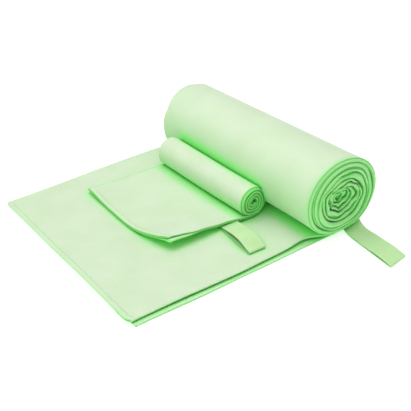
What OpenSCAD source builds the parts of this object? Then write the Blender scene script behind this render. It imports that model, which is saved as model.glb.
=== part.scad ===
// Quick-dry microfibre towel set: a large and a small towel, each folded in
// three lengthwise into a strip and partly rolled up from one end.
// +X runs along the rolls towards their stepped ends, +Y from the free end of
// the strips to the rolls, +Z is up. The lengths below are laid out from the
// large strip's far free corner; every node is then moved so that the origin
// is the bottom centre of the whole set.

/* [Large towel] */
// Width of the folded strip
large_strip_w = 200; // [180:1:240]
// Distance from the free end to the line where the strip starts to roll up
large_lay_len = 195; // [185:1:230]
// Radius of the roll over its outermost layer
large_roll_r = 34.5; // [32:0.5:36]
// Growth of the roll's radius per turn
large_pitch = 3.6; // [3.5:0.1:4.2]
// Number of half turns in the roll
large_half_turns = 18; // [10:1:18]
// Height of one cloth layer and the air above it in the folded strip
large_layer_step = 1.15; // [0.9:0.05:1.15]
// How far the rolled layers slip sideways in each half turn
large_slip = 1.9; // [0:0.1:2.5]
// How far the bottom layer's hemmed edge stands out past the folded edge
large_hem_reveal = 4.5; // [2:0.5:6]
// How far the bottom layer lies back from the free end
large_end_setback = 3.5; // [0:0.5:6]
// Distance from the free end to the line that the free end folds up about
large_fold_at = 48; // [40:1:55]

/* [Small towel] */
// Width of the folded strip
small_strip_w = 118; // [100:1:120]
// Distance from its free end to the line where the strip starts to roll up
small_lay_len = 88; // [75:1:90]
// Radius of the roll over its outermost layer
small_roll_r = 14.6; // [13:0.1:15]
// Growth of the roll's radius per turn
small_pitch = 2.35; // [2.35:0.05:2.7]
// Number of half turns in the roll
small_half_turns = 11; // [6:1:11]
// Height of one cloth layer and the air above it in the folded strip
small_layer_step = 0.8; // [0.77:0.01:0.9]
// How far the rolled layers slip sideways in each half turn
small_slip = 0.5; // [0:0.1:1]
// Distance from the large strip's far edge to the small strip's far edge
small_x = 29.5; // [20:0.5:35]
// Distance from the large towel's free end to the small towel's free end
small_y = 63; // [62:0.5:63.5]
// Distance from its free end to the line that the free end folds up about
small_fold_at = 54; // [45:1:55]
// Length of the turned-up corner along each edge
corner_len = 36; // [20:1:45]
// Angle that the corner is turned up by
corner_angle = 20; // [10:1:35]

/* [Cloth and stitching] */
// Thickness of one layer of the microfibre cloth
cloth_t = 0.7; // [0.6:0.05:0.75]
// Distance from a hemmed edge to its row of stitches
hem_w = 4; // [3:0.5:6]
// Length of one stitch
stitch_len = 2.4; // [1.5:0.1:2.6]
// Distance from one stitch to the next
stitch_pitch = 3.2; // [3:0.1:5]
// Width and height of the thread above the cloth
thread_w = 0.4; // [0.3:0.05:0.5]

/* [Hanging loops] */
// Width of the large towel's loop
large_loop_w = 20; // [15:1:24]
// Length of the large towel's loop beyond its sewn root
large_loop_len = 48; // [40:1:60]
// Widest gap between the two runs of the large loop
large_loop_gap = 2.4; // [1:0.1:3]
// Width of the small towel's loop
small_loop_w = 16; // [12:1:18]
// Length of the small towel's loop beyond its sewn root
small_loop_len = 38.5; // [38:0.5:50]
// Widest gap between the two runs of the small loop
small_loop_gap = 6.2; // [5.5:0.1:7]
// Thickness of the ribbed elastic webbing
webbing_t = 1; // [0.8:0.05:1.1]
// Angle that both loops are turned by from the roll's axis
loop_turn = -9.5; // [-12:0.5:0]

/* [Hidden] */
$fn = 64;

// Room left between solids that belong to different bodies
clear = 0.3;
// Colours
mint = [0.84, 0.93, 0.79];
mint_shade = [0.72, 0.88, 0.68];
webbing_green = [0.76, 0.91, 0.66];
thread_green = [0.66, 0.84, 0.6];

// Height of a folded strip of three layers
large_stack = 2 * large_layer_step + cloth_t;
small_stack = 2 * small_layer_step + cloth_t;
// The most that the rolled layers slip sideways in all
large_slip_max = 10;
small_slip_max = 1.5;
// Share of the sideways slip that shows at the far end of a roll
far_slip_share = 0.3;
// The small towel rests on the large strip
small_z = large_stack + clear;
// Edges of the strips on the side of the loops
large_edge = large_strip_w - 1.5;
small_edge = small_x + small_strip_w;

// Sewn roots of the loops: place of the swing axis and of the loop's middle
large_root_len = 13.5;
large_loop_x = large_strip_w + large_root_len;
large_loop_y = large_lay_len + 18;
small_root_len = 11;
small_loop_x = small_edge + 3.2;
small_loop_y = small_y + 67.5;
// Height of the two runs of webbing where they are sewn together
webbing_stack = 2 * webbing_t;

// Bottom centre of the whole set
far_x = 0;
near_x = large_loop_x + large_loop_len * cos(loop_turn)
    + large_loop_w / 2 * abs(sin(loop_turn));
centre = [(far_x + near_x) / 2, (large_lay_len + large_roll_r) / 2, 0];

module to_frame() translate(-centre) children();

// Turns a Y-Z outline into a solid that runs along +X
module along_x(len) rotate([90, 0, 90]) linear_extrude(len) children();

// Turns an X-Z outline into a solid that runs from y0 to y1
module along_y(y0, y1) translate([0, y1, 0]) rotate([90, 0, 0]) linear_extrude(y1 - y0) children();

// Outline of the cloth bent back on itself between two neighbouring layers
module fold_outline(step, side) {
    r_out = (step + cloth_t) / 2;
    intersection() {
        difference() {
            circle(r_out);
            circle(r_out - cloth_t);
        }
        translate([side > 0 ? 0 : -2 * r_out, -r_out]) square(2 * r_out);
    }
}

// Outline of a strip folded in three: the bottom layer runs to the hemmed
// edge hem_x, then folds at x0 into the middle layer, which folds at x1 into
// the top layer
module folded_outline(x0, x1, hem_x, step) {
    r_out = (step + cloth_t) / 2;
    translate([x0 + r_out, 0]) square([hem_x - x0 - r_out, cloth_t]);
    translate([x0 + r_out, step]) square([x1 - x0 - 2 * r_out, cloth_t]);
    translate([x0 + 1, 2 * step]) square([x1 - x0 - r_out - 1, cloth_t]);
    translate([x0 + r_out, r_out]) fold_outline(step, -1);
    translate([x1 - r_out, step + r_out]) fold_outline(step, 1);
}

// A strip wound up in half turns about two centres half a layer apart. It
// starts at the bottom, goes up at the back and winds inwards. Its layers
// slip towards +X, and their far edges spread apart less than the near ones.
module rolled_strip(r, t, pitch, half_turns, width, slip, slip_max) {
    for (i = [0 : half_turns - 1]) {
        r_i = r - i * pitch / 2;
        back = i % 2 == 0;
        near_slip = min(i * slip, slip_max);
        far_slip = far_slip_share * near_slip;
        translate([far_slip, 0, r + (back ? 0 : pitch / 2)])
            along_x(width + near_slip - far_slip) intersection() {
                difference() {
                    circle(r_i);
                    circle(r_i - t);
                }
                translate([back ? 0 : -r, -r]) square([r, 2 * r]);
            }
    }
}

// A row of stitches from the origin along +X, lying on the plane z = 0
module stitch_row(len) {
    for (i = [0 : floor((len - stitch_len) / stitch_pitch)])
        translate([i * stitch_pitch, -thread_w / 2, 0]) cube([stitch_len, thread_w, thread_w]);
}

// A bar tack: close stitches side by side across a webbing of width w
module bar_tack(w) {
    gap = 1;
    n = floor((w - 2) / gap);
    for (i = [0 : n])
        translate([0, (i - n / 2) * gap - thread_w / 2, 0]) cube([stitch_len, thread_w, thread_w]);
}

// Height of the gap between the two runs of a loop, at the share s of its length
function eye_gap(s, gap) = gap * pow(sin(180 * s), 0.7);

// Outline of a webbing loop lying on its side: two runs that part in the
// middle and meet in a round fold at the end
module loop_outline(len, gap) {
    steps = 16;
    end_r = webbing_t + 0.15;
    run = len - end_r;
    upper = [for (i = [0 : steps]) [run * i / steps,
        webbing_t + 0.3 * i / steps + eye_gap(i / steps, gap)]];
    square([run, webbing_t]);
    polygon(concat(upper, [for (i = [steps : -1 : 0]) upper[i] + [0, webbing_t]]));
    translate([run, end_r]) fold_half(end_r);
}

module fold_half(end_r) {
    intersection() {
        difference() {
            circle(end_r);
            circle(end_r - webbing_t);
        }
        translate([0, -end_r]) square([end_r, 2 * end_r]);
    }
}

// A loop whose swing axis is at the origin, width along Y, lying along +X
module webbing_loop(len, width, gap) {
    along_y(-width / 2, width / 2)
        intersection() {
            loop_outline(len, gap);
            translate([clear / 2, -1]) square([len, 4 * webbing_t + gap]);
        }
}

// The two sewn-together ends of a loop's webbing, behind its swing axis
module webbing_root(len, width) {
    translate([-len, -width / 2, 0]) cube([len - clear / 2, width, webbing_stack]);
}

module at_large_loop() translate([large_loop_x, large_loop_y, 0]) rotate([0, 0, loop_turn]) children();
module at_small_loop() translate([small_loop_x, small_loop_y, small_z]) rotate([0, 0, loop_turn]) children();

// Large towel -------------------------------------------------------------

module large_strip(y0, y1, hem_y0) {
    along_y(y0, y1) folded_outline(0, large_edge, large_edge - 2, large_layer_step);
    translate([large_edge - 2.5, hem_y0, 0])
        cube([large_hem_reveal + 2.5, y1 - hem_y0, cloth_t]);
}

module large_towel_roll() color(mint) to_frame()
    translate([0, large_lay_len, 0])
        rolled_strip(large_roll_r, large_stack, large_pitch, large_half_turns,
            large_strip_w, large_slip, large_slip_max);

module large_towel_flap() color(mint) to_frame()
    large_strip(large_fold_at + clear / 2, large_lay_len, large_fold_at + clear / 2);

module large_towel_free_end() color(mint) to_frame()
    large_strip(0, large_fold_at - clear / 2, large_end_setback);

module large_end_hem_thread() color(thread_green) to_frame() {
    translate([hem_w, hem_w, large_stack]) stitch_row(large_edge - 2 * hem_w);
    translate([large_edge + large_hem_reveal / 2, large_end_setback + hem_w, cloth_t])
        rotate([0, 0, 90]) stitch_row(large_fold_at - large_end_setback - hem_w - 1);
}

module large_side_hem_thread() color(thread_green) to_frame()
    translate([large_edge + large_hem_reveal / 2, large_fold_at + 1, cloth_t])
        rotate([0, 0, 90]) stitch_row(large_lay_len - large_fold_at - hem_w);

module large_loop_root() color(webbing_green) to_frame()
    difference() {
        at_large_loop() webbing_root(large_root_len + 2, large_loop_w);
        translate([large_strip_w - 10, 0, -1]) cube([10, 2 * large_lay_len, 2 * large_stack]);
    }

module large_hanging_loop() color(webbing_green) to_frame()
    at_large_loop() webbing_loop(large_loop_len, large_loop_w, large_loop_gap);

module large_loop_tack() color(thread_green) to_frame()
    at_large_loop() translate([-large_root_len + 6, 0, webbing_stack]) bar_tack(large_loop_w);

// Small towel -------------------------------------------------------------

module small_strip(y0, y1) translate([small_x, small_y, small_z])
    along_y(y0, y1) folded_outline(0, small_strip_w, small_strip_w + 1, small_layer_step);

// The space over the corner of the small towel that is turned up
module corner_space() {
    margin = 3;
    translate([small_edge, small_y, small_z - 1]) linear_extrude(3 * small_stack)
        polygon([[-corner_len - margin, -margin], [margin, corner_len + margin], [margin, -margin]]);
}

// Tilts what lies on the small towel's corner about the crease
module turn_up() {
    bite = 0.2;
    pivot = [small_edge, small_y + corner_len, small_z + bite];
    translate(pivot) rotate(a = -corner_angle, v = [1, 1, 0]) translate(-pivot) children();
}

// Turns up the corner of the folded strip and keeps the rest flat
module corner_turned_up() {
    difference() {
        children();
        corner_space();
    }
    turn_up() intersection() {
        children();
        corner_space();
    }
}

module small_towel_roll() color(mint) to_frame()
    translate([small_x, small_y + small_lay_len, small_z])
        rolled_strip(small_roll_r, small_stack, small_pitch, small_half_turns,
            small_strip_w, small_slip, small_slip_max);

module small_towel_flap() color(mint) to_frame()
    difference() {
        small_strip(small_fold_at + clear / 2, small_lay_len);
        at_small_loop() {
            webbing_root(small_root_len, small_loop_w);
            translate([-small_root_len, -small_loop_w / 2, webbing_stack])
                cube([stitch_len + 2, small_loop_w, thread_w]);
        }
    }

module small_towel_free_end() color(mint) to_frame()
    corner_turned_up() small_strip(0, small_fold_at - clear / 2);

module small_end_hem_thread() color(thread_green) to_frame() {
    crease_x = small_strip_w - corner_len + hem_w;
    translate([small_x + hem_w, small_y + hem_w, small_z + small_stack])
        stitch_row(crease_x - hem_w - stitch_pitch);
    turn_up() translate([small_x + crease_x + stitch_pitch, small_y + hem_w, small_z + small_stack])
        stitch_row(corner_len - 2 * hem_w - stitch_pitch);
    translate([small_x + hem_w, small_y + 2 * hem_w, small_z + small_stack])
        rotate([0, 0, 90]) stitch_row(small_fold_at - 2 * hem_w - 1);
}

module small_side_hem_thread() color(thread_green) to_frame()
    translate([small_x + hem_w, small_y + small_fold_at + 1, small_z + small_stack])
        rotate([0, 0, 90]) stitch_row(small_lay_len - small_fold_at - small_roll_r - 1);

module small_loop_root() color(webbing_green) to_frame()
    at_small_loop() webbing_root(small_root_len, small_loop_w);

module small_hanging_loop() color(webbing_green) to_frame()
    at_small_loop() webbing_loop(small_loop_len, small_loop_w, small_loop_gap);

module small_loop_tack() color(thread_green) to_frame()
    at_small_loop() translate([-small_root_len + 1, 0, webbing_stack]) bar_tack(small_loop_w);

large_towel_roll();
large_towel_flap();
large_towel_free_end();
large_end_hem_thread();
large_side_hem_thread();
large_loop_root();
large_hanging_loop();
large_loop_tack();
small_towel_roll();
small_towel_flap();
small_towel_free_end();
small_end_hem_thread();
small_side_hem_thread();
small_loop_root();
small_hanging_loop();
small_loop_tack();
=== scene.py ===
"""Looks for a set of two quick-dry towels, each folded in three and partly rolled up.

Shapes are worked out in millimetres from the large strip's far corner (x across the strips,
y from the free ends to the rolls, z up) and moved into the CAD frame by to_frame().
"""
import math
import bpy
import numpy as np
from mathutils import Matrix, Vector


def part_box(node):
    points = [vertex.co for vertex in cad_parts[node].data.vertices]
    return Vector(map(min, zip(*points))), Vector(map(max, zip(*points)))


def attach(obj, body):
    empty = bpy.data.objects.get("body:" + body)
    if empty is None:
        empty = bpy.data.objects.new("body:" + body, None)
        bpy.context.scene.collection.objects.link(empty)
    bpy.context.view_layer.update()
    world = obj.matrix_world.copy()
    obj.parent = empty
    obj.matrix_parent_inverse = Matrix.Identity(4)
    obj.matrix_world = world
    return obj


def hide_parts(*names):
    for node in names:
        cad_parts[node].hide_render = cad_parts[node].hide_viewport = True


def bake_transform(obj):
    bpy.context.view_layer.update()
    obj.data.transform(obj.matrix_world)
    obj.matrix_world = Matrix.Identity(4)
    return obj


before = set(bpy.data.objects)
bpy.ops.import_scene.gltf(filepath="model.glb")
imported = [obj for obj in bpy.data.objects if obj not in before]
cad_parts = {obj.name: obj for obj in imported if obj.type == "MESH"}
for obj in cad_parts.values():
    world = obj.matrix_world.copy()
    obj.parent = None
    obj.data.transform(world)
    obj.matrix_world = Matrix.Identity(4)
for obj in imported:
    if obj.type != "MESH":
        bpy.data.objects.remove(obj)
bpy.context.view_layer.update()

# The CAD frame's place of the layout's zero point
CORNER = np.array(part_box("large_towel_free_end")[0])
# Thickness of one ply, what a hem adds to it, and the hem's width
CLOTH = 0.7
HEM = 0.42
HEM_WIDTH = 4.6
# The hem stitches: distance from the edge, length, and distance from one to the next
STITCH_AT = 3.9
STITCH_LENGTH = 2.4
STITCH_PITCH = 3.2
# Stands for a place that no hem or cut end is near
FAR = 99.0
# Half the width of the floor, in metres
FLOOR_HALF = 30.0

LARGE = {
    "name": "large_towel_sheet", "hem_x": 203.0, "fold_x": 198.8, "far_x": 0.4, "end_x": 2.2,
    "step": 1.15, "base": 0.0, "start": -0.5, "contact": 194.7, "radius": 36.2, "taper": 3.4,
    "pitch": 3.6, "turns": 8.6, "near": 200.0,
}
SMALL = {
    "name": "small_towel_sheet", "hem_x": 147.5, "fold_x": 147.2, "far_x": 30.0, "end_x": 31.2,
    "step": 0.82, "base": 3.35, "start": 63.0, "contact": 151.0, "radius": 14.1, "taper": 0.0,
    "pitch": 2.4, "turns": 4.1, "near": 148.5,
}


def to_frame(points):
    """Layout millimetres as CAD frame metres."""
    return np.asarray(points, float) / 1000.0 + CORNER


def ease(x, a, b):
    """0 up to a, 1 from b on, smooth in between."""
    t = np.clip((np.asarray(x, float) - a) / (b - a), 0.0, 1.0)
    return t * t * (3.0 - 2.0 * t)


def hump(x, middle, width):
    """1 at the middle, fading to 0 on both sides."""
    return np.exp(-(((np.asarray(x, float) - middle) / width) ** 2))


def wrapped(angle):
    """The angle brought into -pi..pi."""
    return (np.asarray(angle, float) + math.pi) % (2 * math.pi) - math.pi


def ripple(x, seed, waves, length):
    """A smooth wandering line around 0, the sum of a few seeded sines."""
    rng = np.random.default_rng(seed)
    total = np.zeros_like(np.asarray(x, float))
    for k in range(1, waves + 1):
        phase = rng.uniform(0.0, 2 * math.pi)
        weight = rng.uniform(0.5, 1.0) / k ** 0.5
        total = total + weight * np.sin(2 * math.pi * k * np.asarray(x, float) / length + phase)
    return total / waves ** 0.5


# Rings of cloth along each strip

END_STEPS = [0.0, 0.3, 0.9, 2.0, 3.1, 3.6, 3.9, 4.2, 4.6, 5.2, 6.5, 9.0, 12.0]


def flat_stations(start, contact, fold_from, fold_to):
    """Places along the flat part of a strip: close together at the hem and over the fold line."""
    places = [start + d for d in END_STEPS]
    while places[-1] < contact - 3.0:
        inside = fold_from <= places[-1] < fold_to
        places.append(places[-1] + (2.0 if inside else 3.6))
    return np.array([p for p in places if p < contact - 1.0])


def roll_angles(turns, outer_turns, fine, coarse):
    """Angles along the rolled part, closer together on the outer turns."""
    outer = np.linspace(0.0, outer_turns, int(outer_turns * fine), endpoint=False)
    inner = np.linspace(outer_turns, turns, int((turns - outer_turns) * coarse))
    return 2 * math.pi * np.concatenate([outer, inner])


# The folded cross section: bottom ply, far fold, middle ply, near fold, top ply

HEM_STEPS = np.array([0.02, 0.25, 0.8, 1.8, 2.9, 3.5, 3.9, 4.3, 4.8, 5.6, 7.5, 11.0, 16.0])
FOLD_STEPS = np.array([0.6, 1.6, 3.0, 5.0, 8.0, 13.0])


def spread(a, b, count):
    """Evenly spaced columns between a and b, without the two ends."""
    return [a + (b - a) * share for share in np.linspace(0.0, 1.0, count + 2)[1:-1]]


def cross_section(hem_x, fold_x, far_x, end_x, step, puff, lift):
    """Centreline of the folded cloth on every ring: x and depth w from the strip's underside.
    puff opens the near fold, and lift raises the upper two plies near it."""
    low, mid, top = CLOTH / 2, CLOTH / 2 + step, CLOTH / 2 + 2 * step
    half = step / 2
    far_r = half * 1.1
    near_r = half * (1.0 + puff)
    arc = np.linspace(0.0, math.pi, 11)[1:-1]
    xs, ws, edge = [], [], []

    def add(x, w, distance):
        for kept, value in zip((xs, ws, edge), np.broadcast_arrays(x, w, distance)):
            kept.append(value)

    def open_by(distance):
        return (near_r - half) * np.exp(-((distance / 4.0) ** 2))

    for d in HEM_STEPS:
        add(hem_x - d, low, d)
    for x in spread(hem_x - 16.0, far_x + far_r + 6.0, 9):
        add(x, low, FAR)
    for d in (6.0, 3.0, 1.0):
        add(far_x + far_r + d, low, FAR)
    for a in arc:
        add(far_x + far_r * (1 - np.sin(a)), (low + mid) / 2 - half * np.cos(a), FAR)
    for d in (1.0, 3.0, 6.0):
        add(far_x + far_r + d, mid, FAR)
    inner = fold_x - near_r
    for x in spread(far_x + far_r + 6.0, inner - 13.0, 9):
        add(x, mid, FAR)
    for d in FOLD_STEPS[::-1]:
        add(inner - d, mid - open_by(d), FAR)
    for a in arc:
        add(inner + near_r * np.sin(a), (mid + top) / 2 - near_r * np.cos(a), FAR)
    for d in FOLD_STEPS:
        add(inner - d, top + open_by(d), FAR)
    for x in spread(inner - 13.0, end_x + 16.0, 9):
        add(x, top, FAR)
    for d in HEM_STEPS[::-1]:
        add(end_x + d, top, d)
    x, w, distance = (np.stack(v, axis=1) for v in (xs, ws, edge))
    first_upper = len(HEM_STEPS) + 12 + len(arc)
    upper = np.arange(x.shape[1]) >= first_upper
    w = w + upper * lift[:, None] * ease(x - fold_x[:, None], -34.0, -1.0)
    return x, w, distance


def hem_thickness(distance):
    """Half the cloth's thickness at a distance from a hemmed edge, with the stitched groove."""
    doubled = HEM / 2 * (1 - ease(distance, HEM_WIDTH - 0.3, HEM_WIDTH + 0.5))
    groove = 0.2 * np.exp(-(((distance - STITCH_AT) / 0.4) ** 2))
    return CLOTH / 2 + doubled - groove


def outline(x, w, half):
    """Closed outlines round the centrelines: outer side, round end, inner side, round end."""
    tx, tw = np.gradient(x, axis=1), np.gradient(w, axis=1)
    size = np.hypot(tx, tw)
    nx, nw = tw / size, -tx / size
    ux, uw = tx / size, tw / size
    cap_a = np.stack([x[:, :1] - ux[:, :1] * half[:, :1], w[:, :1] - uw[:, :1] * half[:, :1]], 2)
    cap_b = np.stack([x[:, -1:] + ux[:, -1:] * half[:, -1:], w[:, -1:] + uw[:, -1:] * half[:, -1:]], 2)
    side_a = np.stack([x - nx * half, w - nw * half], 2)
    side_b = np.stack([x + nx * half, w + nw * half], 2)
    return np.concatenate([side_a, cap_b, side_b[:, ::-1], cap_a], axis=1)


def grid_faces(rings, columns):
    """Quads of a tube of closed rings, and the two ladders that close its ends."""
    index = np.arange(rings * columns).reshape(rings, columns)
    a, b = index[:-1], np.roll(index[:-1], -1, axis=1)
    c, d = np.roll(index[1:], -1, axis=1), index[1:]
    faces = np.stack([a, b, c, d], axis=2).reshape(-1, 4)
    n = columns // 2 - 1
    first, last = index[0], index[-1]
    ladder = []
    for k in range(n - 1):
        left, right = k, 2 * n - k
        ladder.append([first[left], first[right], first[right - 1], first[left + 1]])
        ladder.append([last[left], last[left + 1], last[right - 1], last[right]])
    tips = []
    for ring, flip in ((first, False), (last, True)):
        tip_b = [ring[n - 1], ring[n + 1], ring[n]]
        tip_a = [ring[2 * n], ring[0], ring[2 * n + 1]]
        tips += [t[::-1] if flip else t for t in (tip_a, tip_b)]
    return [list(map(int, f)) for f in faces] + [list(map(int, f)) for f in ladder + tips]


def new_object(name, points, faces):
    """A smooth-shaded mesh object from frame points."""
    mesh = bpy.data.meshes.new(name)
    mesh.from_pydata([tuple(p) for p in points], [], faces)
    mesh.validate()
    mesh.update()
    mesh.polygons.foreach_set("use_smooth", [True] * len(mesh.polygons))
    made = bpy.data.objects.new(name, mesh)
    bpy.context.scene.collection.objects.link(made)
    return made


def strip_rings(towel, fold_from, fold_to, outer_turns, fine, coarse):
    """Each ring's place along the flat part, its angle round the roll and its distance from the
    two ends of the cloth."""
    flat = flat_stations(towel["start"], towel["contact"], fold_from, fold_to)
    angles = roll_angles(towel["turns"], outer_turns, fine, coarse)
    along = np.concatenate([flat, np.full(len(angles), towel["contact"])])
    angle = np.concatenate([np.zeros(len(flat)), angles])
    length = 2 * math.pi * towel["radius"]
    turns_left = (towel["turns"] * 2 * math.pi - angle) / (2 * math.pi)
    from_start = np.where(angle > 0, FAR, along - towel["start"])
    from_end = np.where(angle > 0, turns_left * length / 6, FAR)
    return along, angle, from_start, from_end


def wound(towel, x, w, along, angle, shift):
    """Winds the flat cross sections into the roll. shift is the share that a layer is pulled in by."""
    taper = towel["taper"] * (1 - np.clip(x / towel["near"], 0.0, 1.1))
    radius = towel["radius"] - taper
    scale = radius / towel["radius"]
    r = radius - scale * towel["pitch"] * angle[:, None] / (2 * math.pi) - w
    r = r * (1 - shift)
    y = along[:, None] + r * np.sin(angle[:, None])
    z = towel["base"] + radius - r * np.cos(angle[:, None])
    return y, z, radius


def settled(y, z, cy, cz, radius, share):
    """Lets a roll sag a little: its lower half fills out towards its corners, as a soft roll does
    under its own weight."""
    phi = np.arctan2(y - cy, cz - z)
    down, side = np.maximum(np.cos(phi), 0.0), np.abs(np.sin(phi))
    fuller = (down ** 3 + side ** 3) ** (-1.0 / 3.0)
    fuller = np.where(down > 0, np.minimum(fuller, 1.2), 1.0)
    grow = 1 + (fuller - 1) * share * np.hypot(y - cy, z - cz) / radius
    return cy + (y - cy) * grow, cz + (z - cz) * grow


def turned(a, b, angle):
    """The point (a, b) turned by an angle."""
    return a * np.cos(angle) - b * np.sin(angle), a * np.sin(angle) + b * np.cos(angle)


def crumple(y, z, cy, cz, amount, reach, tilt, flat, waves, seed):
    """Squeezes a roll's core flat along a tilted line and pushes its layers into soft waves.
    amount grows over the turns, so neighbouring layers move unequally and some cross a little."""
    a, b = turned(y - cy, z - cz, -tilt)
    rho = np.hypot(a, b)
    near = amount * np.exp(-((rho / reach) ** 2))
    a = a * (1 + 0.45 * flat * near)
    b = b * (1 - flat * near)
    a, b = turned(a, b, 0.9 * amount * np.exp(-((rho / (0.45 * reach)) ** 2)))
    phi = np.arctan2(b, a)
    rng = np.random.default_rng(seed)
    push = np.zeros_like(rho)
    for k in waves:
        phase = rng.uniform(0.0, 2 * math.pi)
        bend = rng.uniform(-0.16, 0.16)
        size = rng.uniform(0.6, 1.0)
        push = push + size / k * np.sin(k * phi + phase + bend * rho)
    room = np.clip(rho / 3.0, 0.0, 1.0) * np.exp(-((rho / (1.75 * reach)) ** 4))
    grow = 1 + amount * 0.16 * push * room
    a, b = turned(a * grow, b * grow, tilt)
    return cy + a, cz + b


# The large towel

def large_edges(towel, along, angle):
    """Edges of the large strip on each ring. The roll's outer turns are set back at its front
    and lower side, and its core is a little recessed."""
    turn = angle / (2 * math.pi)
    wound_up = ease(turn, -0.02, 0.10) * (angle > 0)
    wave = 1.5 * hump(along, 95.0, 38.0) - 1.6 * hump(along, 164.0, 11.0) + 5.6 * ease(along, 166.0, 194.0)
    setback = 8.4 * (1 - ease(turn, -0.9, 3.4))
    rolled = 210.6 - setback * (1 + np.cos(angle - math.radians(285.0))) / 2
    rolled = rolled - 1.6 * ease(turn, 2.9, 3.9) - 4.6 * ease(turn, 4.6, 8.4)
    rolled = rolled + 0.5 * ripple(turn, 11, 7, 2.3) * ease(turn, 0.4, 2.0)
    fold_x = (towel["fold_x"] + wave) * (1 - wound_up) + rolled * wound_up
    hem_wave = 0.9 * hump(along, 60.0, 30.0) + 0.5 * hump(along, 120.0, 30.0)
    tucked = ease(turn, 0.02, 0.22)
    behind = 0.9 + 0.7 * (1 + np.cos(angle - math.radians(285.0))) / 2 + 0.8 * ease(turn, 0.8, 2.0)
    hem_x = (towel["hem_x"] + hem_wave) * (1 - tucked) + (rolled - behind) * tucked
    spread_out = 5.5 * ease(along, 0.0, 150.0) * (1 - ease(turn, 0.0, 0.28))
    far = 5.6 * ease(turn, 0.05, 0.4) + 3.5 * hump(turn, 0.55, 0.13) - 4.6 * ease(turn, 0.58, 0.8)
    far = far - 4.2 * ease(turn, 0.8, 0.94) + 8.0 * ease(turn, 1.0, 2.4)
    far = far + 0.5 * ripple(turn, 21, 6, 2.7) * ease(turn, 0.1, 0.8)
    return hem_x, fold_x, towel["far_x"] - spread_out + far, towel["end_x"] - spread_out + far


def large_gaps(towel, x, angle):
    """Lens-shaped gaps between the turns near the stepped end of the large roll, each as the
    share that the layers inside it are pulled in by."""
    kept = np.ones_like(x)
    for turn, middle, width, size in ((1.31, 110.0, 20.0, 1.5), (3.49, 175.0, 22.0, 1.3),
                                      (4.33, 119.0, 18.0, 1.3), (5.39, 139.0, 26.0, 1.2),
                                      (6.54, 195.0, 30.0, 1.2), (2.02, 6.0, 18.0, 1.3),
                                      (5.76, 275.0, 26.0, 1.3)):
        opened = angle > 2 * math.pi * turn - math.pi
        lens = np.exp(-((wrapped(angle - math.radians(middle)) / math.radians(width)) ** 2))
        depth = size / (towel["radius"] - towel["pitch"] * turn)
        kept = kept * (1 - depth * (opened * lens)[:, None] * ease(x, 120.0, 195.0))
    return 1 - kept


def large_kinks(x, y, z, cy, cz, strength):
    """Creases pressed into the layers near the stepped end: each pushes the cloth around one
    place of the cross section a little way, and fades out."""
    for py, pz, dy, dz, reach in ((-3.5, -4.0, 1.2, -0.8, 2.2), (3.5, 4.5, -1.1, 0.8, 2.2),
                                  (11.0, -9.0, -1.2, 1.3, 3.0), (-10.0, 3.0, 1.1, 1.1, 2.8),
                                  (2.0, 9.5, 1.2, 0.7, 2.6), (-1.5, -9.0, -1.2, -0.7, 2.6),
                                  (13.5, 6.5, 0.8, 1.3, 3.0), (-15.5, 8.5, 1.2, 1.0, 3.0),
                                  (-8.5, -9.5, 1.9, 2.1, 5.0), (12.3, 14.1, -1.5, -2.2, 4.2),
                                  (17.5, -2.6, 1.9, -0.6, 4.2), (-15.0, -1.5, 1.9, -0.9, 3.8),
                                  (-3.0, 12.0, 0.7, -1.5, 4.0), (6.0, -12.0, -0.9, 1.5, 4.6),
                                  (-12.0, 12.5, 1.3, -1.0, 4.2), (8.0, 5.0, 1.1, 0.9, 3.2),
                                  (-5.0, 2.5, -1.1, 0.6, 3.0), (18.0, 10.0, -1.2, 0.5, 4.5),
                                  (0.5, -19.5, 1.3, -0.8, 4.5), (-20.5, 7.0, -1.0, 0.9, 5.0)):
        near = np.exp(-(((y - cy - py) ** 2 + (z - cz - pz) ** 2) / reach ** 2)) * strength
        y, z = y + dy * near, z + dz * near
    return y, z


def bunched(y, z, cy, cz, strength):
    """Turns lie closer together at some depths and looser at others. Where they are close, some
    layers cross a little."""
    rho, phi = np.hypot(y - cy, z - cz), np.arctan2(z - cz, y - cy)
    push = 0.62 * np.sin(0.80 * rho + 1.1 * np.sin(phi + 0.6) + 1.0)
    push = push + 0.30 * np.sin(1.35 * rho + 1.6 * np.sin(2 * phi + 2.1) + 4.0)
    grow = 1 + strength * push * np.clip(rho / 4.0, 0.0, 1.0) / np.maximum(rho, 1.0)
    return cy + (y - cy) * grow, cz + (z - cz) * grow


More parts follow.
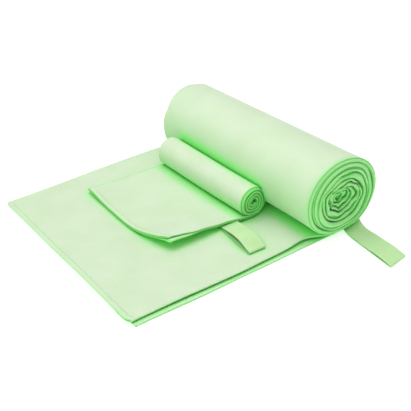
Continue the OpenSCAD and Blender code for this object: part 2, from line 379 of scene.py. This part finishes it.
def large_sheet():
    """The large towel: one sheet of cloth, folded in three and wound up from its far end."""
    towel = LARGE
    along, angle, from_start, from_end = strip_rings(towel, 34.0, 62.0, 1.25, 72, 46)
    hem_x, fold_x, far_x, end_x = large_edges(towel, along, angle)
    turn = angle / (2 * math.pi)
    puff = 0.15 + 0.75 * ease(turn, 0.05, 0.45) - 0.35 * ease(turn, 3.0, 5.0)
    puff = puff + 0.16 * ripple(turn, 71, 6, 3.1) * ease(turn, 0.4, 1.0)
    lift = 0.45 + 0.5 * hump(along, 100.0, 40.0) + 1.1 * hump(along, 160.0, 16.0)
    lift = lift * (1 - ease(along, 176.0, 190.0))
    x, w, distance = cross_section(hem_x, fold_x, far_x, end_x, towel["step"], puff, lift)
    half = hem_thickness(np.minimum(distance, np.minimum(from_start, from_end)[:, None]))
    ring = outline(x, w, half)
    x, w = ring[..., 0], ring[..., 1]
    y, z, radius = wound(towel, x, w, along, angle, large_gaps(towel, x, angle))
    cy, cz = towel["contact"], towel["base"] + radius
    inside = ease(turn, 1.0, 2.4)[:, None]
    near = ease(x, 60.0, 190.0) * inside
    y1, z1 = crumple(y, z, cy, cz, near, 13.0, math.radians(-6.0), 0.42, (2, 3, 5, 7), 5)
    y1, z1 = large_kinks(x, y1, z1, cy, cz, ease(x, 110.0, 196.0) * ease(turn, 1.6, 2.2)[:, None])
    y1, z1 = bunched(y1, z1, cy, cz, ease(x, 90.0, 190.0) * ease(turn, 0.75, 1.5)[:, None])
    far = (1 - ease(x, 15.0, 110.0)) * inside
    y1, z1 = crumple(y1, z1, cy, cz, far, 14.0, math.radians(100.0), 0.30, (2, 3, 4), 9)
    sag = (1 - 0.85 * ease(x, 90.0, 190.0)) * (angle > 0)[:, None]
    y1, z1 = settled(y1, z1, cy, cz, radius, sag)
    wave = 0.35 * ripple(along, 31, 4, 150.0)[:, None] * ease(x, 0.0, 60.0) * (w > 0.9)
    z1 = z1 + np.where((angle == 0)[:, None], wave * ease(along, 8.0, 30.0)[:, None]
                       * (1 - ease(along, 160.0, 185.0))[:, None], 0.0)
    y1 = y1 + np.where((from_start < FAR)[:, None], large_end_shift(x, w, along), 0.0)
    grid = np.stack([x, y1, np.maximum(z1, 0.02)], axis=2)
    # painted shade on the folded edges at the roll's end and on the hems' thin sides
    shade_marks = 0.75 * edge_shade_mask(x, fold_x, turn, 3.2, distance, from_start)
    return finish_sheet(towel, grid, shade_marks)


def edge_shade_mask(x, fold_x, turn, reach, distance, from_start):
    """Mask of painted shade: 1 on the folded edges at the near end of a roll, fading over a few
    millimetres; the covered inner turns keep it for longer. The thin sides of the hems carry it too."""
    depth = np.maximum(fold_x[:, None] - x, 0.0)
    covered = ease(turn, 0.8, 1.1)[:, None]
    wound_up = ease(turn, 0.05, 0.2)[:, None]
    side = np.concatenate([distance, distance[:, -1:], distance[:, ::-1], distance[:, :1]], axis=1)
    thin = 0.9 * (np.minimum(side, from_start[:, None]) < 0.28)
    return np.maximum(wound_up * np.exp(-(depth / (reach + 12.0 * covered)) ** 2), thin)


def large_end_shift(x, w, along):
    """The free end isn't cut dead straight: the bottom ply lies back, and corners are round."""
    fade = 1 - ease(along, 0.0, 45.0)[:, None]
    lower = 3.0 * (w < 0.95)
    corner = 2.6 * ease(x, 190.0, 199.5) ** 3 * (w > 0.95)
    far_corner = 1.5 * (1 - ease(x, 1.0, 9.0)) ** 2
    wander = 0.5 * ripple(x, 41, 3, 260.0)
    return fade * (lower + corner + far_corner + wander)


def finish_sheet(towel, grid, painted_edge_shade):
    """The closed mesh of a sheet from its grid of points, with slightly rounded cut ends.
    The last argument is the painted shade on the folded edges that lie side by side at the end of a roll,
    kept as a point attribute."""
    def shrunk(ring, ahead):
        n = ring.shape[0] // 2 - 1
        middle = ring.copy()
        for k in range(n):
            middle[k] = middle[2 * n - k] = (ring[k] + ring[2 * n - k]) / 2
        return middle + (ring - middle) * 0.55 + ahead

    first = shrunk(grid[0], (grid[0].mean(0) - grid[1].mean(0)) * 0.7)
    step = grid[-1].mean(0) - grid[-2].mean(0)
    last = shrunk(grid[-1], step / max(np.linalg.norm(step), 1e-6) * 0.25)
    whole = np.concatenate([first[None], grid, last[None]], axis=0)
    faces = grid_faces(whole.shape[0], whole.shape[1])
    made = new_object(towel["name"], to_frame(whole.reshape(-1, 3)), faces)
    shade_marks = np.concatenate([painted_edge_shade[:1], painted_edge_shade, painted_edge_shade[-1:]], axis=0)
    made.data.attributes.new("painted_edge_shade", "FLOAT", "POINT").data.foreach_set("value", shade_marks.ravel())
    return made, whole


# The small towel

def small_edges(towel, along, angle):
    """Edges of the small strip on each ring. Its folded edge is drawn back near the free corner."""
    turn = angle / (2 * math.pi)
    wound_up = ease(turn, 0.0, 0.2)
    drawn = 3.0 * (1 - ease(along, 78.0, 98.0)) + 1.6 * (1 - ease(along, 63.0, 77.0))
    edge = 0.8 * np.clip(turn, 0.0, 1.2) + 0.25 * ripple(turn, 51, 5, 1.9) - 0.8 * ease(turn, 2.5, 4.8)
    fold_x = towel["fold_x"] - drawn * (1 - wound_up) + edge * wound_up + 0.6 * wound_up
    hem_x = towel["hem_x"] - 1.9 * wound_up + edge * wound_up
    far = 0.5 * ease(turn, 0.3, 2.0) + 0.25 * ripple(turn, 61, 5, 2.1) * ease(turn, 0.1, 0.6)
    return hem_x, fold_x, towel["far_x"] + far, towel["end_x"] + far


def small_lift(x, y):
    """How far the near side of the small strip floats above the large one."""
    along = 1 - 0.42 * ease(y, 100.0, 122.0) - 0.48 * ease(y, 122.0, 150.0)
    edge = 6.4 * ease(x, 96.0, 149.0) * along
    tip = 1.2 * ease(x, 118.0, 148.0) * (1 - ease(y, 64.0, 88.0))
    far_corner = 2.3 * (1 - ease(x, 30.0, 64.0)) * (1 - ease(y, 64.0, 92.0))
    return edge + tip + far_corner


def small_skew(x, along):
    """How far the roll's near end lies further back than its far end."""
    return 3.1 * np.clip(x / 149.0, 0.0, 1.05) * ease(along, 100.0, 151.0)[:, None]


def small_pull(x, y):
    """How far the free edge is drawn back towards the turned-up corner."""
    back = 8.2 * np.clip((x - 99.0) / 48.0, 0.0, 1.1) ** 1.6 * (1 - ease(y, 64.0, 112.0))
    skew = 1.8 * (1 - ease(x, 30.0, 92.0)) * (1 - ease(y, 64.0, 112.0))
    return back + skew


def small_sheet():
    """The small towel: one sheet of cloth, folded in three and wound up from its far end."""
    towel = SMALL
    along, angle, from_start, from_end = strip_rings(towel, 106.0, 130.0, 1.25, 64, 44)
    hem_x, fold_x, far_x, end_x = small_edges(towel, along, angle)
    turn = angle / (2 * math.pi)
    puff = 0.1 + 0.65 * ease(turn, 0.05, 0.45)
    lift = 0.5 * (1 - ease(along, 63.0, 105.0))
    x, w, distance = cross_section(hem_x, fold_x, far_x, end_x, towel["step"], puff, lift)
    half = hem_thickness(np.minimum(distance, np.minimum(from_start, from_end)[:, None]))
    half = half * (1 - 0.22 * ease(turn, 0.0, 0.3))[:, None]
    ring = outline(x, w, half)
    x, w = ring[..., 0], ring[..., 1]
    y, z, radius = wound(towel, x, w, along, angle, 0.0)
    cy, cz = towel["contact"], towel["base"] + radius
    inside = ease(turn, 0.6, 1.6)[:, None]
    near = ease(x, 60.0, 140.0) * inside
    y1, z1 = crumple(y, z, cy, cz, near, 7.0, math.radians(40.0), 0.22, (2, 3, 5), 15)
    far = (1 - ease(x, 40.0, 90.0)) * inside
    y1, z1 = crumple(y1, z1, cy, cz, far, 7.0, math.radians(120.0), 0.25, (2, 3, 5), 19)
    sag = (1 - 0.2 * ease(x, 80.0, 150.0)) * (angle > 0)[:, None]
    y1, z1 = settled(y1, z1, cy, cz, radius, sag)
    flat_share = (1 - ease(turn, 0.0, 0.12))[:, None]
    z1 = z1 + np.where((angle == 0)[:, None], small_lift(x, y1), small_lift(x, 200.0))
    y1 = y1 + small_skew(x, along)
    upper = (w > CLOTH / 2 + 0.41)
    corner = 2.0 * ease(x, 130.0, 143.0) ** 2 * (1 - ease(y1, 63.5, 84.0)) * upper
    y1 = y1 + np.where((angle == 0)[:, None], small_pull(x, y1) + corner, 0.0)
    x = x - 1.2 * flat_share * ease(x, 110.0, 148.0) * (1 - ease(y1, 120.0, 150.0))
    grid = np.stack([x, y1, z1], axis=2)
    # painted shade on the folded edges at the roll's end and on the hems' thin sides
    shade_marks = 1.1 * edge_shade_mask(x, fold_x, turn, 2.6, distance, from_start)
    return finish_sheet(towel, grid, shade_marks)


# Thread

def capsule_path(name, path, up, radius):
    """Stitches along a line of points: short rounded threads with a gap between them."""
    path, up = np.asarray(path, float), np.asarray(up, float)
    run = np.concatenate([[0.0], np.cumsum(np.linalg.norm(np.diff(path, axis=0), axis=1))])
    points, faces = [], []
    ring_at = np.array([0.0, 0.12, 0.5, 0.88, 1.0])
    ring_size = np.array([0.45, 0.9, 1.0, 0.9, 0.45])
    ring_rise = np.array([-0.6, 0.25, 0.5, 0.25, -0.6])
    sides = 8
    count = int((run[-1] - STITCH_LENGTH) / STITCH_PITCH)
    for k in range(count + 1):
        places = k * STITCH_PITCH + ring_at * STITCH_LENGTH
        centres = np.stack([np.interp(places, run, path[:, i]) for i in range(3)], axis=1)
        normals = np.stack([np.interp(places, run, up[:, i]) for i in range(3)], axis=1)
        normals /= np.linalg.norm(normals, axis=1, keepdims=True)
        forward = centres[-1] - centres[0]
        forward /= np.linalg.norm(forward)
        start = len(points)
        for j in range(len(ring_at)):
            side = np.cross(forward, normals[j])
            side /= np.linalg.norm(side)
            middle = centres[j] + normals[j] * ring_rise[j] * radius
            for m in range(sides):
                a = 2 * math.pi * m / sides
                points.append(middle + radius * ring_size[j] * (math.cos(a) * side
                                                                + math.sin(a) * normals[j]))
        for j in range(len(ring_at) - 1):
            for m in range(sides):
                n = (m + 1) % sides
                faces.append([start + j * sides + m, start + j * sides + n,
                              start + (j + 1) * sides + n, start + (j + 1) * sides + m])
        faces.append([start + m for m in range(sides)][::-1])
        faces.append([start + (len(ring_at) - 1) * sides + m for m in range(sides)])
    return new_object(name, to_frame(points), faces)


def inner_index(grid, column):
    """Index of a centreline column's point on the inner side of the closed ring."""
    n = grid.shape[1] // 2 - 1
    return 2 * n - column


def surface_line(grid, rings, columns):
    """Points of a sheet's skin along rings and columns, and its outward normals there."""
    points = grid[rings, columns]
    around = grid[rings, (columns + 1) % grid.shape[1]] - grid[rings, columns - 1]
    ahead = grid[np.minimum(rings + 1, len(grid) - 1), columns] - grid[np.maximum(rings - 1, 0), columns]
    normal = np.cross(around, ahead)
    return points, normal / np.linalg.norm(normal, axis=1, keepdims=True)


def hem_column():
    """Centreline column of the bottom ply's stitch line."""
    return int(np.argmin(np.abs(HEM_STEPS - STITCH_AT)))


def end_stitches(name, grid):
    """The stitches across the free end, on the top ply. The grid's first ring is its cut end."""
    ring = 1 + END_STEPS.index(STITCH_AT)
    hem_starts = grid.shape[1] // 2 - 1 - len(HEM_STEPS)
    columns = np.array([inner_index(grid, c) for c in range(hem_starts - 14, hem_starts + 6)])
    rings = np.full(len(columns), ring)
    points, normals = surface_line(grid, rings, columns)
    normals = normals * np.sign(normals[:, 2:3])
    return capsule_path(name, points, normals, 0.24)


def side_stitches(name, grid, ring_from, ring_to):
    """The stitches along the near hem of the bottom ply, on its inner side."""
    rings = np.arange(ring_from, ring_to)
    columns = np.full(len(rings), inner_index(grid, hem_column()))
    points, normals = surface_line(grid, rings, columns)
    normals = normals * np.sign(normals[:, 2:3])
    return capsule_path(name, points, normals, 0.22)


# Hanging loops

def band(name, centre, across, up, width, thick, rib_pitch, rib_height):
    """Webbing along a line: flat, with fine cross ribs and rounded selvedges."""
    centre, across, up = (np.asarray(v, float) for v in (centre, across, up))
    run = np.concatenate([[0.0], np.cumsum(np.linalg.norm(np.diff(centre, axis=0), axis=1))])
    rib = rib_height * np.cos(2 * math.pi * run / rib_pitch)
    share = np.array([-1.0, -0.985, -0.94, -0.90, -0.86, -0.6, -0.3, 0.0, 0.3, 0.6, 0.86, 0.90,
                      0.94, 0.985, 1.0])
    level = np.array([0.0, 0.62, 0.95, 0.86, 0.9, 1.0, 1.0, 1.0, 1.0, 1.0, 0.9, 0.86, 0.95, 0.62, 0.0])
    ribbed = np.array([0.0, 0.1, 0.3, 0.6, 1.0, 1.0, 1.0, 1.0, 1.0, 1.0, 1.0, 0.6, 0.3, 0.1, 0.0])
    upper = (centre[:, None] + across[:, None] * (share * width / 2)[None, :, None]
             + up[:, None] * (level * thick / 2 + ribbed * rib[:, None])[..., None])
    lower = (centre[:, None] + across[:, None] * (share * width / 2)[None, :, None]
             - up[:, None] * (level * thick / 2 + ribbed * rib[:, None])[..., None])
    ring = np.concatenate([upper, lower[:, -2:0:-1]], axis=1)
    columns = ring.shape[1]
    index = np.arange(ring.shape[0] * columns).reshape(ring.shape[0], columns)
    a, b = index[:-1], np.roll(index[:-1], -1, axis=1)
    c, d = np.roll(index[1:], -1, axis=1), index[1:]
    faces = np.stack([a, b, c, d], axis=2).reshape(-1, 4).tolist()
    n = len(share)
    for row, flip in ((index[0], False), (index[-1], True)):
        for k in range(n - 1):
            low_a = row[0] if k == 0 else row[columns - k]
            low_b = row[n - 1] if k == n - 2 else row[columns - k - 1]
            quad = [int(v) for v in (row[k], low_a, low_b, row[k + 1])]
            kept = list(dict.fromkeys(quad))
            faces.append(kept[::-1] if flip else kept)
    return new_object(name, to_frame(ring.reshape(-1, 3)), faces)


def run_3d(run):
    """Level directions with a zero height added."""
    return np.column_stack([run, np.zeros(len(run))])


def folded_band(plan, upper_z, lower_z, tilt_at, skew_at, length):
    """Line, cross direction and upward direction of a doubled loop: out along its upper run,
    round the fold and back below. plan, the heights, the tilt and the skew depend on the share
    of the length from the root."""
    share = np.linspace(0.0, 1.0, int(length / 0.28))
    flat = plan(share)
    high = np.column_stack([flat, upper_z(share)])
    low = np.column_stack([flat, lower_z(share)])[::-1]
    ahead = np.append(flat[-1] - flat[-2], 0.0)
    ahead /= np.linalg.norm(ahead)
    middle = (high[-1] + low[0]) / 2
    r = (high[-1][2] - low[0][2]) / 2
    arc = [middle + ahead * r * math.sin(a) + np.array([0, 0, r * math.cos(a)])
           for a in np.linspace(0.0, math.pi, 16)[1:-1]]
    centre = np.concatenate([high, arc, low])
    tangent = np.gradient(centre, axis=0)
    tangent /= np.linalg.norm(tangent, axis=1, keepdims=True)
    run = np.gradient(flat, axis=0)
    run /= np.linalg.norm(run, axis=1, keepdims=True)
    run = np.concatenate([run, np.repeat(run[-1:], len(arc), axis=0), run[::-1]])
    there_and_back = np.concatenate([share, np.ones(len(arc)), share[::-1]])
    tilt, skew = tilt_at(there_and_back), skew_at(there_and_back)
    across = np.column_stack([-run[:, 1] * np.cos(tilt), run[:, 0] * np.cos(tilt), np.sin(tilt)])
    across = across - run_3d(run) * skew[:, None]
    up = np.cross(tangent, across)
    up /= np.linalg.norm(up, axis=1, keepdims=True)
    return centre, across, up


def large_loop():
    """The large towel's loop: it leaves the roll's underside tilted and drapes to the floor."""
    def plan(s):
        y = 209.7 - 4.2 * s ** 1.5 + 5.5 * np.clip(1 - s / 0.32, 0.0, 1.0) ** 2 + 0.8 * hump(s, 0.45, 0.25)
        return np.column_stack([198.0 + 62.7 * s, y])

    def tilt(s):
        return math.radians(34.0) * np.clip(1 - s / 0.4, 0.0, 1.0) ** 2

    def skew(s):
        return 0.26 * ease(s, 0.5, 1.0)

    def upper(s):
        return 1.7 + 4.8 * np.clip(1 - s / 0.4, 0.0, 1.0) ** 2 + 0.9 * hump(s, 0.80, 0.17)

    def lower(s):
        return 0.62 + 4.8 * np.clip(1 - s / 0.4, 0.0, 1.0) ** 2

    centre, across, up = folded_band(plan, upper, lower, tilt, skew, 64.0)
    across = across * (0.78 + 0.22 * ease(centre[:, 0], 204.0, 228.0))[:, None]
    return band("large_loop_webbing", centre, across, up, 20.0, 0.95, 1.5, 0.07)


def small_loop():
    """The small towel's loop: its two runs part in the middle and show an open eye."""
    def plan(s):
        return np.column_stack([136.5 + 50.6 * s, 131.2 - 6.4 * s])

    def tilt(s):
        return math.radians(2.0) * (1 - s)

    def skew(s):
        return 0.10 * ease(s, 0.5, 1.0)

    def upper(s):
        return 4.95 + 3.95 * ease(s, 0.10, 0.66) - 2.8 * ease(s, 0.72, 1.02)

    def lower(s):
        return np.full_like(s, 3.88)

    centre, across, up = folded_band(plan, upper, lower, tilt, skew, 52.0)
    return band("small_loop_webbing", centre, across, up, 16.2, 0.9, 1.4, 0.06)


# Materials

def node_material(name):
    """An empty node material and its shader."""
    made = bpy.data.materials.new(name)
    made.use_nodes = True
    tree = made.node_tree
    shader = tree.nodes["Principled BSDF"]
    return made, tree, shader


def mixed_noise(tree, scale, detail, low, high):
    """Noise in object space, squeezed between two values."""
    place = tree.nodes.new("ShaderNodeTexCoord")
    noise = tree.nodes.new("ShaderNodeTexNoise")
    noise.inputs["Scale"].default_value = scale
    noise.inputs["Detail"].default_value = detail
    tree.links.new(place.outputs["Object"], noise.inputs["Vector"])
    ramp = tree.nodes.new("ShaderNodeMapRange")
    ramp.inputs["From Min"].default_value = 0.3
    ramp.inputs["From Max"].default_value = 0.7
    ramp.inputs["To Min"].default_value = low
    ramp.inputs["To Max"].default_value = high
    tree.links.new(noise.outputs["Fac"], ramp.inputs["Value"])
    return ramp


def plain_colour(tree, tone):
    """One colour as a node."""
    made = tree.nodes.new("ShaderNodeRGB")
    made.outputs["Color"].default_value = (*tone, 1.0)
    return made.outputs["Color"]


def two_tone(tree, factor, dark, light):
    """A colour between two tones."""
    mix = tree.nodes.new("ShaderNodeMix")
    mix.data_type = "RGBA"
    mix.inputs["A"].default_value = (*dark, 1.0)
    mix.inputs["B"].default_value = (*light, 1.0)
    tree.links.new(factor, mix.inputs["Factor"])
    return mix.outputs["Result"]


def painted_shade_below(tree, colour, shade_tone, share):
    """Painted shade: a deeper, greener tone on skin that faces down or sideways, standing in for
    the shade and the green light that comes off the cloth below it."""
    place = tree.nodes.new("ShaderNodeNewGeometry")
    parts = tree.nodes.new("ShaderNodeSeparateXYZ")
    ramp = tree.nodes.new("ShaderNodeMapRange")
    ramp.interpolation_type = "SMOOTHSTEP"
    ramp.inputs["From Min"].default_value = -0.85
    ramp.inputs["From Max"].default_value = 0.90
    ramp.inputs["To Min"].default_value = share
    ramp.inputs["To Max"].default_value = 0.0
    mix = tree.nodes.new("ShaderNodeMix")
    mix.data_type = "RGBA"
    mix.inputs["B"].default_value = (*shade_tone, 1.0)
    tree.links.new(place.outputs["Normal"], parts.inputs["Vector"])
    tree.links.new(parts.outputs["Z"], ramp.inputs["Value"])
    tree.links.new(colour, mix.inputs["A"])
    tree.links.new(ramp.outputs["Result"], mix.inputs["Factor"])
    return mix.outputs["Result"]


def painted_shade_on_edges(tree, colour, shade_tone, share):
    """Painted shade: a deeper tone where the edge-shade attribute marks the folded edges at a roll's end
    and the hems' thin sides.
    """
    shade_marks = tree.nodes.new("ShaderNodeAttribute")
    shade_marks.attribute_name = "painted_edge_shade"
    part = tree.nodes.new("ShaderNodeMath")
    part.operation = "MULTIPLY"
    part.inputs[1].default_value = share
    tree.links.new(shade_marks.outputs["Fac"], part.inputs[0])
    mix = tree.nodes.new("ShaderNodeMix")
    mix.data_type = "RGBA"
    mix.inputs["B"].default_value = (*shade_tone, 1.0)
    tree.links.new(colour, mix.inputs["A"])
    tree.links.new(part.outputs["Value"], mix.inputs["Factor"])
    return mix.outputs["Result"]


def painted_shade_in_creases(tree, colour, shade_tone, reach, power):
    """Painted shade: a deeper tone where cloth faces cloth, in folds, between turns and under edges, from
    ambient occlusion.
    """
    closed = tree.nodes.new("ShaderNodeAmbientOcclusion")
    closed.samples = 8
    closed.inputs["Distance"].default_value = reach
    curve = tree.nodes.new("ShaderNodeMath")
    curve.operation = "POWER"
    curve.inputs[1].default_value = power
    tree.links.new(closed.outputs["AO"], curve.inputs[0])
    mix = tree.nodes.new("ShaderNodeMix")
    mix.data_type = "RGBA"
    tree.links.new(shade_tone, mix.inputs["A"])
    tree.links.new(colour, mix.inputs["B"])
    tree.links.new(curve.outputs["Value"], mix.inputs["Factor"])
    return mix.outputs["Result"]


def nap_bump(tree, shader, scale, strength, distance):
    """Fine raised pile from two scales of noise."""
    place = tree.nodes.new("ShaderNodeTexCoord")
    fine = tree.nodes.new("ShaderNodeTexNoise")
    fine.inputs["Scale"].default_value = scale
    fine.inputs["Detail"].default_value = 3.0
    cells = tree.nodes.new("ShaderNodeTexVoronoi")
    cells.inputs["Scale"].default_value = scale * 0.6
    total = tree.nodes.new("ShaderNodeMath")
    total.operation = "ADD"
    bump = tree.nodes.new("ShaderNodeBump")
    bump.inputs["Strength"].default_value = strength
    bump.inputs["Distance"].default_value = distance
    tree.links.new(place.outputs["Object"], fine.inputs["Vector"])
    tree.links.new(place.outputs["Object"], cells.inputs["Vector"])
    tree.links.new(fine.outputs["Fac"], total.inputs[0])
    tree.links.new(cells.outputs["Distance"], total.inputs[1])
    tree.links.new(total.outputs["Value"], bump.inputs["Height"])
    tree.links.new(bump.outputs["Normal"], shader.inputs["Normal"])


def microfibre():
    """Mint-green brushed microfibre: matt, softly hazy, a little mottled, with painted shade on its
    undersides, on the folded edges at the rolls' ends and in its creases.
    """
    made, tree, shader = node_material("microfibre")
    factor = mixed_noise(tree, 38.0, 6.0, 0.0, 1.0)
    colour = two_tone(tree, factor.outputs["Result"], (0.570, 0.720, 0.485), (0.620, 0.755, 0.545))
    # painted shade on skin that faces down or sideways
    colour = painted_shade_below(tree, colour, (0.180, 0.690, 0.120), 0.66)
    # painted shade on the folded edges at the rolls' ends and on the hems' thin sides
    colour = painted_shade_on_edges(tree, colour, (0.210, 0.740, 0.160), 0.9)
    # painted shadow tones: saturated green for shadows under edges and beside the rolls, dark green for
    # tight creases, both deeper on the folded edges at the rolls' ends
    contact_shadow_tone = painted_shade_on_edges(tree, plain_colour(tree, (0.110, 0.930, 0.070)), (0.090, 0.700, 0.070), 1.0)
    dark = painted_shade_on_edges(tree, plain_colour(tree, (0.030, 0.420, 0.030)), (0.022, 0.260, 0.026), 1.0)
    # painted shade from ambient occlusion: a wide green shadow within 11 mm, then a narrow dark one within
    # 2.5 mm
    colour = painted_shade_in_creases(tree, colour, contact_shadow_tone, 0.011, 1.25)
    colour = painted_shade_in_creases(tree, colour, dark, 0.0025, 0.9)
    tree.links.new(colour, shader.inputs["Base Color"])
    shader.inputs["Roughness"].default_value = 0.92
    shader.inputs["Specular IOR Level"].default_value = 0.12
    shader.inputs["Sheen Weight"].default_value = 0.45
    shader.inputs["Sheen Roughness"].default_value = 0.55
    shader.inputs["Sheen Tint"].default_value = (0.93, 1.0, 0.88, 1.0)
    shader.inputs["Subsurface Weight"].default_value = 0.12
    shader.inputs["Subsurface Radius"].default_value = (0.35, 1.0, 0.3)
    shader.inputs["Subsurface Scale"].default_value = 0.002
    nap_bump(tree, shader, 1900.0, 0.35, 0.0003)
    return made


def webbing():
    """Yellow-green elastic webbing, with painted shade in its creases."""
    made, tree, shader = node_material("webbing")
    factor = mixed_noise(tree, 90.0, 4.0, 0.0, 1.0)
    colour = two_tone(tree, factor.outputs["Result"], (0.480, 0.720, 0.350), (0.530, 0.755, 0.400))
    # painted shade where the webbing faces cloth, from ambient occlusion
    colour = painted_shade_in_creases(tree, colour, plain_colour(tree, (0.085, 0.500, 0.055)), 0.007, 1.0)
    tree.links.new(colour, shader.inputs["Base Color"])
    shader.inputs["Roughness"].default_value = 0.72
    shader.inputs["Specular IOR Level"].default_value = 0.3
    shader.inputs["Sheen Weight"].default_value = 0.25
    shader.inputs["Sheen Roughness"].default_value = 0.5
    shader.inputs["Subsurface Weight"].default_value = 0.06
    shader.inputs["Subsurface Radius"].default_value = (0.3, 1.0, 0.25)
    shader.inputs["Subsurface Scale"].default_value = 0.001
    nap_bump(tree, shader, 2600.0, 0.25, 0.0002)
    return made


def thread():
    """Twisted polyester sewing thread, a shade deeper than the cloth."""
    made, tree, shader = node_material("thread")
    factor = mixed_noise(tree, 900.0, 2.0, 0.0, 1.0)
    colour = two_tone(tree, factor.outputs["Result"], (0.420, 0.700, 0.320), (0.520, 0.780, 0.410))
    tree.links.new(colour, shader.inputs["Base Color"])
    shader.inputs["Roughness"].default_value = 0.5
    nap_bump(tree, shader, 5000.0, 0.3, 0.0001)
    return made


def paper():
    """The plain pale floor."""
    made, tree, shader = node_material("floor_paper")
    factor = mixed_noise(tree, 3.0, 2.0, 0.0, 1.0)
    colour = two_tone(tree, factor.outputs["Result"], (0.79, 0.79, 0.785), (0.80, 0.80, 0.795))
    tree.links.new(colour, shader.inputs["Base Color"])
    shader.inputs["Roughness"].default_value = 0.9
    shader.inputs["Emission Color"].default_value = (1.0, 1.0, 1.0, 1.0)
    shader.inputs["Emission Strength"].default_value = 0.56
    return made


# Stage

def floor(material):
    """A wide floor under the towels."""
    mesh = bpy.data.meshes.new("floor")
    size = FLOOR_HALF
    mesh.from_pydata([(-size, -size, -0.0002), (size, -size, -0.0002), (size, size, -0.0002),
                      (-size, size, -0.0002)], [], [(0, 1, 2, 3)])
    made = bpy.data.objects.new("floor", mesh)
    bpy.context.scene.collection.objects.link(made)
    made.data.materials.append(material)
    return made


def aim(made, target):
    """Points a camera or light at a place."""
    direction = Vector(target) - made.location
    made.rotation_mode = "QUATERNION"
    made.rotation_quaternion = direction.to_track_quat("-Z", "Y")


def soft_light(name, place, size, power):
    """A large square soft light aimed at the towels."""
    data = bpy.data.lights.new(name, "AREA")
    data.shape = "SQUARE"
    data.size = size
    data.energy = power
    made = bpy.data.objects.new(name, data)
    made.location = place
    bpy.context.scene.collection.objects.link(made)
    aim(made, (0.0, 0.0, 0.02))
    return made


def studio():
    """A pale surrounding, a key light from the left, a soft top light and a low front light."""
    world = bpy.data.worlds.new("studio")
    world.use_nodes = True
    world.node_tree.nodes["Background"].inputs["Color"].default_value = (1.0, 1.0, 1.0, 1.0)
    world.node_tree.nodes["Background"].inputs["Strength"].default_value = 0.46
    bpy.context.scene.world = world
    soft_light("key", (-0.6, -0.6, 1.35), 1.2, 6.0)
    soft_light("top", (-0.1, 0.15, 1.7), 1.6, 15.4)
    soft_light("front", (0.55, -0.8, 0.6), 1.0, 3.3)
    bpy.context.scene.view_settings.view_transform = "Standard"


def camera():
    """The camera at the photograph's angle."""
    data = bpy.data.cameras.new("camera")
    data.sensor_width = 36.0
    data.lens = 69.53
    made = bpy.data.objects.new("camera", data)
    made.location = (0.4383, -0.3278, 0.3625)
    azimuth, elevation = math.radians(53.01), math.radians(31.94)
    forward = Vector((-math.sin(azimuth) * math.cos(elevation),
                         math.cos(azimuth) * math.cos(elevation), -math.sin(elevation)))
    made.rotation_mode = "QUATERNION"
    made.rotation_quaternion = forward.to_track_quat("-Z", "Y")
    data.clip_start, data.clip_end = 0.01, 50.0
    bpy.context.scene.collection.objects.link(made)
    bpy.context.scene.camera = made


def dress(made, material):
    """Gives a piece its material."""
    made.data.materials.clear()
    made.data.materials.append(material)


camera()
studio()
cloth, band_cloth, yarn = microfibre(), webbing(), thread()
floor(paper())

large, large_grid = large_sheet()
dress(large, cloth)
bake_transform(large)
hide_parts("large_towel_roll", "large_towel_flap", "large_towel_free_end")

small, small_grid = small_sheet()
dress(small, cloth)
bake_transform(small)
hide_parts("small_towel_roll", "small_towel_flap", "small_towel_free_end")

large_end = end_stitches("large_end_stitches", large_grid)
dress(large_end, yarn)
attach(large_end, "large_free_end")
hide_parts("large_end_hem_thread")

large_side = side_stitches("large_side_stitches", large_grid, 9, 62)
dress(large_side, yarn)
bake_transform(large_side)
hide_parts("large_side_hem_thread")

small_end = end_stitches("small_end_stitches", small_grid)
dress(small_end, yarn)
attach(small_end, "small_free_end")
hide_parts("small_end_hem_thread", "small_side_hem_thread")

big_loop = large_loop()
dress(big_loop, band_cloth)
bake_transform(big_loop)
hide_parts("large_loop_root", "large_hanging_loop", "large_loop_tack")

little_loop = small_loop()
dress(little_loop, band_cloth)
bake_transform(little_loop)
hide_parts("small_loop_root", "small_hanging_loop", "small_loop_tack")
